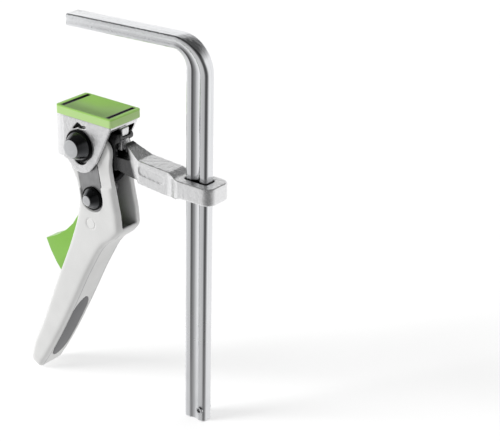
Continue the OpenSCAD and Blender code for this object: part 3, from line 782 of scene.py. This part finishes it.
def edge_distance(spot, line):
    """Distance in millimetres from a spot to a row of points."""
    nearest = []
    for start, end in zip(line, line[1:]):
        along = Vector(end) - Vector(start)
        share = ramp((spot - Vector(start)).dot(along) / along.length_squared, 0.0, 1.0)
        nearest.append((Vector(start) + along * share - spot).length)
    return min(nearest)


def within(spot, outline):
    """Whether a spot lies inside a closed outline."""
    inside = False
    for (x0, z0), (x1, z1) in zip(outline, outline[1:] + outline[:1]):
        if (z0 > spot.y) != (z1 > spot.y) and spot.x < x0 + (x1 - x0) * (spot.y - z0) / (z1 - z0):
            inside = not inside
    return inside


def mark_lever(mesh):
    """Writes where the hand lever gets the painted shade of its channel, and where its inner edge runs."""
    channel = mesh.attributes.new("channel", "FLOAT", "POINT")
    inner_edge = mesh.attributes.new("inner_edge", "FLOAT", "POINT")
    closed = CHANNEL + CHANNEL[:1]
    for k, vertex in enumerate(mesh.vertices):
        place = vertex.co / MM
        spot = Vector((place.x - LEVER_PIVOT[0], place.z - LEVER_PIVOT[1]))
        depth = 1.0 if within(spot, CHANNEL) else 1.0 - ramp(edge_distance(spot, closed), *CHANNEL_FADE)
        channel.data[k].value = depth * (1.0 - ramp(abs(place.y), *CHANNEL_HALF))
        inner_edge.data[k].value = 1.0 - ramp(edge_distance(spot, INNER_EDGE), *SEAM_FADE)


def pad_share(place):
    """Share of the edge width of the pad: whole on its top rim and upright corners, none elsewhere."""
    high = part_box("pressure_pad")[1]
    on_end = abs(place.x) > high.x - NEAR_SIDE
    on_side = abs(place.y) > high.y - NEAR_SIDE
    on_top = place.z > high.z - NEAR_FACE
    return 1.0 if on_top and (on_end or on_side) or on_end and on_side else 0.0


def flank_share(place):
    """Share of the edge width of the release lever: whole round its two flanks and none between them."""
    return 1.0 if abs(place.y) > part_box("release_lever")[1].y - NEAR_FACE else 0.0


class CLAMP_OT_mouldings(Operator):
    """Rounds the hand lever, its grip, the release lever and the pad as mouldings"""

    bl_idname = "clamp.mouldings"
    bl_label = "Mouldings"

    def execute(self, context):
        sizes = context.scene.clamp_sizes
        mesh = softened("handle_shell", sizes.shell_grain, sizes.shell_rounds)
        worn_round(mesh, lambda spot: spot.z < TIP_ROUND, sizes.tip_rounds)
        mark_lever(mesh)
        piece("lever_shell", mesh, "lever", "shell_plastic", "shell", "handle_shell")
        mesh = edged("grip_insert", sizes.grip_edge, lambda place: 1.0)
        piece("grip_strip", mesh, "lever", "grip_rubber", "grip", "grip_insert")
        mesh = edged("release_lever", sizes.trigger_edge, flank_share)
        piece("release_trigger", mesh, "trigger", "lime_plastic", "lime", "release_lever")
        mesh = edged("pressure_pad", sizes.pad_edge, pad_share)
        piece("jaw_pad", mesh, "jaw", "lime_plastic", "pad", "pressure_pad")
        profile = [(radius, -y) for radius, y in AXLE_HEAD] + list(AXLE_HEAD[::-1])
        mesh = turned("trigger_axle", profile, TRIGGER_PIVOT, sizes.turning_steps)
        piece("trigger_axle", mesh, "lever", "shell_plastic", "axle", "trigger_pin")
        return {"FINISHED"}


# Pins

# Round of the edges of a head, hollow of its face, depth of the pin in its cap and of the cap's bore
HEAD_ROUND = 0.45
FACE_HOLLOW = 0.12
PIN_IN_CAP = 0.4
CAP_BORE = 0.5
# Round of the edges of a ring, and its gap round the pin
RING_ROUND = 0.2
RING_GAP = 0.05
# Share of Y in its normal above which a face counts as lying across the pin
ACROSS = 0.8
# Name, body and place of each pin, its head as base radius, face radius and height, the radius of its
# shaft, and the near side, far side and radius of its rings
PINS = (("pivot", "arm", LEVER_PIVOT, (7.8, 4.9, 5.6), 4.5, 11.0, 12.2, 8.6),
        ("pawl", "lever", PAWL_PIVOT, (5.8, 2.6, 4.0), 3.0, 8.6, 9.7, 6.4))


def pin_profile(head, start, shaft):
    """Profile of a pin with a tapered head on the near side."""
    base, face, height = head
    tail = start + PIN_IN_CAP
    outer = [(0.0, -start - height + FACE_HOLLOW), (face, -start - height), (base, -start),
             (shaft, -start), (shaft, tail), (0.0, tail)]
    return rounded_profile(outer, HEAD_ROUND)


def cap_profile(head, start, shaft):
    """Profile of the cap on the far end of a pin."""
    base, face, height = head
    outer = [(shaft, start + CAP_BORE), (shaft, start), (base, start), (face, start + height),
             (0.0, start + height - FACE_HOLLOW)]
    return [(0.0, start + CAP_BORE)] + rounded_profile(outer, HEAD_ROUND)


def ring_profile(bore, radius, near, far):
    """Profile of a flat ring."""
    closed = [(bore, near), (radius, near), (radius, far), (bore, far), (bore, near)]
    return rounded_profile(closed, RING_ROUND)


class CLAMP_OT_pins(Operator):
    """Turns the pins with their tapered heads, caps and rings"""

    bl_idname = "clamp.pins"
    bl_label = "Pins"

    def execute(self, context):
        steps = context.scene.clamp_sizes.turning_steps
        for name, body, spot, head, shaft, near, far, radius in PINS:
            pin = turned(f"{name}_pin_head", pin_profile(head, far, shaft), spot, steps)
            piece(f"{name}_pin_head", pin, body, "plated_steel", "turning", f"{name}_pin")
            cap = turned(f"{name}_end_cap", cap_profile(head, far, shaft), spot, steps)
            piece(f"{name}_end_cap", cap, body, "plated_steel", "turning", f"{name}_cap")
            # Painted shade and painted reflection: the tapered sides get a darker copy of the turned
            # steel, while the faces across a pin stay bright
            for mesh in (pin, cap):
                mesh.materials.append(FINISHES["burnished"])
                for face in mesh.polygons:
                    face.material_index = 0 if abs(face.normal.y) > ACROSS else 1
            for side, sign in (("near", -1), ("far", 1)):
                profile = ring_profile(shaft + RING_GAP, radius, sign * near, sign * far)
                ring = turned(f"{name}_ring_{side}", profile, spot, steps)
                piece(f"{name}_ring_{side}", ring, body, "black_steel", "black", f"{name}_rings")
        return {"FINISHED"}


# Springs


def wire_tree():
    """Node tree that sweeps a wire along a path."""
    tree = bpy.data.node_groups.new("spring_wire", "GeometryNodeTree")
    for name, kind in (("Path", "NodeSocketGeometry"), ("Wire Radius", "NodeSocketFloat"),
                       ("Sides", "NodeSocketInt"), ("Finish", "NodeSocketMaterial")):
        tree.interface.new_socket(name, in_out="INPUT", socket_type=kind)
    tree.interface.new_socket("Wire", in_out="OUTPUT", socket_type="NodeSocketGeometry")
    given = add_node(tree, "NodeGroupInput").outputs
    section = add_node(tree, "GeometryNodeCurvePrimitiveCircle", Resolution=given["Sides"],
                       Radius=given["Wire Radius"])
    swept = add_node(tree, "GeometryNodeCurveToMesh", Curve=given["Path"],
                     Profile_Curve=section, Fill_Caps=True)
    smooth = add_node(tree, "GeometryNodeSetShadeSmooth", Geometry=swept)
    whole = add_node(tree, "GeometryNodeRealizeInstances", Geometry=smooth)
    coated = add_node(tree, "GeometryNodeSetMaterial", Geometry=whole, Material=given["Finish"])
    add_node(tree, "NodeGroupOutput", Wire=coated)
    return tree


def coil_path(radius, pitch, first, last, step=8):
    """Points of a coil about Y in millimetres, wound from one angle to another."""
    count = math.ceil(abs(last - first) / step)
    rise = pitch * abs(last - first) / 360
    points = []
    for k in range(count + 1):
        angle = math.radians(first + (last - first) * k / count)
        y = rise * (k / count - 0.5)
        points.append(Vector((radius * math.cos(angle), y, radius * math.sin(angle))))
    return points


def wire_mesh(name, tree, points, radius, sides):
    """Mesh of a wire along a row of points in metres."""
    curve = bpy.data.curves.new(name, "CURVE")
    curve.dimensions = "3D"
    line = curve.splines.new("POLY")
    line.points.add(len(points) - 1)
    for spot, point in zip(line.points, points):
        spot.co = (*point, 1.0)
    obj = new_object(name, curve)
    modifier = obj.modifiers.new("wire", "NODES")
    modifier.node_group = tree
    values = {"Wire Radius": radius, "Sides": sides, "Finish": FINISHES["spring"]}
    for item in tree.interface.items_tree:
        if item.in_out == "INPUT" and item.name in values:
            modifier[item.identifier] = values[item.name]
    return applied(obj)


# Springs, in millimetres and degrees: wire and coil radius, pitch, angles and straight legs
RETURN_WIRE = 0.5
RETURN_COIL = {"radius": 6.75, "pitch": 1.55, "first": 180, "last": -720}
LEVER_LEG = Vector((0, 0, -9.3))
ARM_LEG = Vector((0, 0, -6.2))
PAWL_WIRE = 0.25
PAWL_COIL = {"radius": 1.5, "pitch": 1.05, "first": 0, "last": 900, "step": 12}


class CLAMP_OT_springs(Operator):
    """Winds the return spring of the lever and the spring of the pawl"""

    bl_idname = "clamp.springs"
    bl_label = "Springs"

    def execute(self, context):
        sides = context.scene.clamp_sizes.wire_sides
        tree = wire_tree()
        coil = coil_path(**RETURN_COIL)
        path = [coil[0] + LEVER_LEG] + coil + [coil[-1] + ARM_LEG]
        middle = Vector((LEVER_PIVOT[0], 0, LEVER_PIVOT[1]))
        points = [(point + middle) * MM for point in path]
        mesh = wire_mesh("lever_return_spring", tree, points, RETURN_WIRE * MM, sides)
        spring = piece("lever_return_spring", mesh, None, "spring_steel", "spring", "return_spring")
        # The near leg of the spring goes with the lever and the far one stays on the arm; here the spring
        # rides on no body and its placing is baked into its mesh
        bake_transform(spring)
        seat = Vector((SPRING_SEAT[0], 0, SPRING_SEAT[1]))
        turn = Matrix.Rotation(math.radians(90), 3, "Z")
        points = [(turn @ point + seat) * MM for point in coil_path(**PAWL_COIL)]
        mesh = wire_mesh("pawl_push_spring", tree, points, PAWL_WIRE * MM, sides)
        spring = piece("pawl_push_spring", mesh, "lever", "spring_steel", "spring", "pawl_spring")
        # The pawl presses the spring against the lever when the release lever is pulled
        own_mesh(spring)
        return {"FINISHED"}


# Inner steel

# The ratchet sector takes the blackened steel as painted shade for the dark space under the pad
NODE_FINISHES = {"cam_plates": "plate", "ratchet_sector": "black", "pawl": "plate",
                 "wear_plate": "spring", "spacer_bush": "spring", "sector_rivets": "spring"}


class CLAMP_OT_inner_steel(Operator):
    """Gives the punched and turned steel inside the clamp its finishes"""

    bl_idname = "clamp.inner_steel"
    bl_label = "Inner steel"

    def execute(self, context):
        for node, finish in NODE_FINISHES.items():
            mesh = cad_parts[node].data
            mesh.materials.clear()
            mesh.materials.append(FINISHES[finish])
        return {"FINISHED"}


# Stage

# Share of the milky film that the camera sees, and how bright the film is
FLOOR_VEIL = 0.45
FLOOR_GAIN = 1.5
FLOOR_REACH = 4000.0
# Level direction in which the camera looks, and the key light as seen from the clamp
TOWARDS_COVE = (-0.5935, 0.8049, 0.0)
TOWARDS_LIGHT = (-0.66, -0.61, 0.44)
LIGHT_SPREAD = 26
LIGHT_STRENGTH = 1.9


def place_camera(scene):
    """Camera at the viewing angle of the photograph."""
    azimuth = math.radians(36.405)
    elevation = math.radians(24.607)
    roll = math.radians(1.296)
    target = Vector((98.352, 0.0, -77.166)) * MM
    distance = 730.575 * MM
    forward = Vector((-math.sin(azimuth) * math.cos(elevation), math.cos(azimuth) * math.cos(elevation),
                      -math.sin(elevation)))
    level = Vector((math.cos(azimuth), math.sin(azimuth), 0.0))
    upward = level.cross(forward)
    right = math.cos(roll) * level + math.sin(roll) * upward
    up = math.cos(roll) * upward - math.sin(roll) * level
    camera = bpy.data.cameras.new("photo_camera")
    camera.sensor_fit = "HORIZONTAL"
    camera.sensor_width = 36.0
    camera.lens = 108.0
    camera.clip_start = 0.01
    obj = new_object("photo_camera", camera)
    turned_axes = Matrix((right, up, -forward)).transposed()
    obj.matrix_world = Matrix.Translation(target - forward * distance) @ turned_axes.to_4x4()
    scene.camera = obj


def add_sun(name, towards, spread, strength):
    """Broad, even light from a direction."""
    lamp = bpy.data.lights.new(name, "SUN")
    lamp.angle = math.radians(spread)
    lamp.energy = strength
    obj = new_object(name, lamp)
    obj.rotation_euler = (-Vector(towards)).to_track_quat("-Z", "Y").to_euler()
    # The bright metal mirrors the room of studio_world and not the lamp
    obj.visible_glossy = False


def film_floor():
    """Milky film that takes the shadow and still shows what hangs below it when the arm slides down."""
    material = bpy.data.materials.new("milky_film_floor")
    tree = empty_tree(material)
    path = add_node(tree, "ShaderNodeLightPath").outputs
    veil = add_node(tree, "ShaderNodeMath", PRODUCT, i0=path["Is Camera Ray"], i1=FLOOR_VEIL)
    clear = add_node(tree, "ShaderNodeBsdfTransparent", Color=(1.0, 1.0, 1.0, 1.0))
    milky = add_node(tree, "ShaderNodeBsdfDiffuse", Color=(FLOOR_GAIN, FLOOR_GAIN, FLOOR_GAIN, 1.0))
    film = add_node(tree, "ShaderNodeMixShader", i0=veil, i1=clear, i2=milky)
    add_node(tree, "ShaderNodeOutputMaterial", Surface=film)
    return material


def studio_world():
    """White cove ahead, dark room behind the camera and dark ceiling, as the bright metal shows them."""
    world = bpy.data.worlds.new("studio")
    tree = empty_tree(world)
    path = add_node(tree, "ShaderNodeLightPath").outputs
    direction = add_node(tree, "ShaderNodeTexCoord").outputs["Generated"]
    height = add_node(tree, "ShaderNodeSeparateXYZ", Vector=direction).outputs["Z"]
    ahead = add_node(tree, "ShaderNodeVectorMath", {"operation": "DOT_PRODUCT"}, i0=direction,
                     i1=TOWARDS_COVE)
    walls = add_node(tree, "ShaderNodeMapRange", Value=ahead, From_Min=-0.86,
                     From_Max=0.1, To_Min=0.1, To_Max=1.15)
    ceiling = add_node(tree, "ShaderNodeMapRange", Value=height, From_Min=0.36, From_Max=0.66,
                       To_Min=1.0, To_Max=0.08)
    room = add_node(tree, "ShaderNodeMath", PRODUCT, i0=walls, i1=ceiling)
    # The white floor throws more light up than the ceiling throws down
    soft = add_node(tree, "ShaderNodeMapRange", Value=height, From_Min=-0.4, From_Max=0.2,
                    To_Min=0.8, To_Max=0.42)
    lit = add_node(tree, "ShaderNodeMix", Factor=path["Is Glossy Ray"], i2=soft, i3=room)
    strength = add_node(tree, "ShaderNodeMix", Factor=path["Is Camera Ray"], i2=lit, i3=1.0)
    sky = add_node(tree, "ShaderNodeBackground", Color=(1.0, 1.0, 1.0, 1.0), Strength=strength)
    add_node(tree, "ShaderNodeOutputWorld", Surface=sky)
    return world


class CLAMP_OT_stage(Operator):
    """Sets the floor, the lamp, the studio and the camera"""

    bl_idname = "clamp.stage"
    bl_label = "Stage"

    def execute(self, context):
        scene = context.scene
        scene.view_settings.view_transform = "Standard"
        place_camera(scene)
        scene.world = studio_world()
        slope = (RAIL_FOOT[1] - LEVER_TIP[1]) / (RAIL_FOOT[0] - LEVER_TIP[0])
        mesh = bpy.data.meshes.new("floor")
        corners = []
        for along, across in ((-1, -1), (1, -1), (1, 1), (-1, 1)):
            x = along * FLOOR_REACH
            z = LEVER_TIP[1] + slope * (x - LEVER_TIP[0])
            corners.append(Vector((x, across * FLOOR_REACH, z)) * MM)
        mesh.from_pydata(corners, [], [(0, 1, 2, 3)])
        floor = new_object("floor", mesh)
        mesh.materials.append(film_floor())
        add_sun("key_light", TOWARDS_LIGHT, LIGHT_SPREAD, LIGHT_STRENGTH)
        return {"FINISHED"}


class CLAMP_PT_panel(Panel):
    """Lists the steps of the clamp and what can be changed"""

    bl_idname = "CLAMP_PT_panel"
    bl_label = "Lever clamp"
    bl_space_type = "VIEW_3D"
    bl_region_type = "UI"
    bl_category = "Clamp"

    def draw(self, context):
        for step in STEPS:
            self.layout.operator(step.bl_idname)
        for group in (context.scene.clamp_sizes, context.scene.clamp_colours):
            for key in group.__annotations__:
                self.layout.prop(group, key)


STEPS = (CLAMP_OT_rail, CLAMP_OT_castings, CLAMP_OT_mouldings, CLAMP_OT_pins, CLAMP_OT_springs,
         CLAMP_OT_inner_steel, CLAMP_OT_stage)
CLASSES = (ClampSizes, ClampColours) + STEPS + (CLAMP_PT_panel,)


def register():
    """Registers the classes and gives the scene its sizes and colours."""
    for item in CLASSES:
        bpy.utils.register_class(item)
    bpy.types.Scene.clamp_sizes = PointerProperty(type=ClampSizes)
    bpy.types.Scene.clamp_colours = PointerProperty(type=ClampColours)


def unregister():
    """Takes away what register adds."""
    del bpy.types.Scene.clamp_colours
    del bpy.types.Scene.clamp_sizes
    for item in reversed(CLASSES):
        bpy.utils.unregister_class(item)


def main():
    """Builds the pieces and the stage."""
    register()
    make_finishes(bpy.context.scene.clamp_colours)
    bpy.ops.clamp.rail()
    bpy.ops.clamp.castings()
    bpy.ops.clamp.mouldings()
    bpy.ops.clamp.pins()
    bpy.ops.clamp.springs()
    bpy.ops.clamp.inner_steel()
    bpy.ops.clamp.stage()


if __name__ == "__main__":
    main()
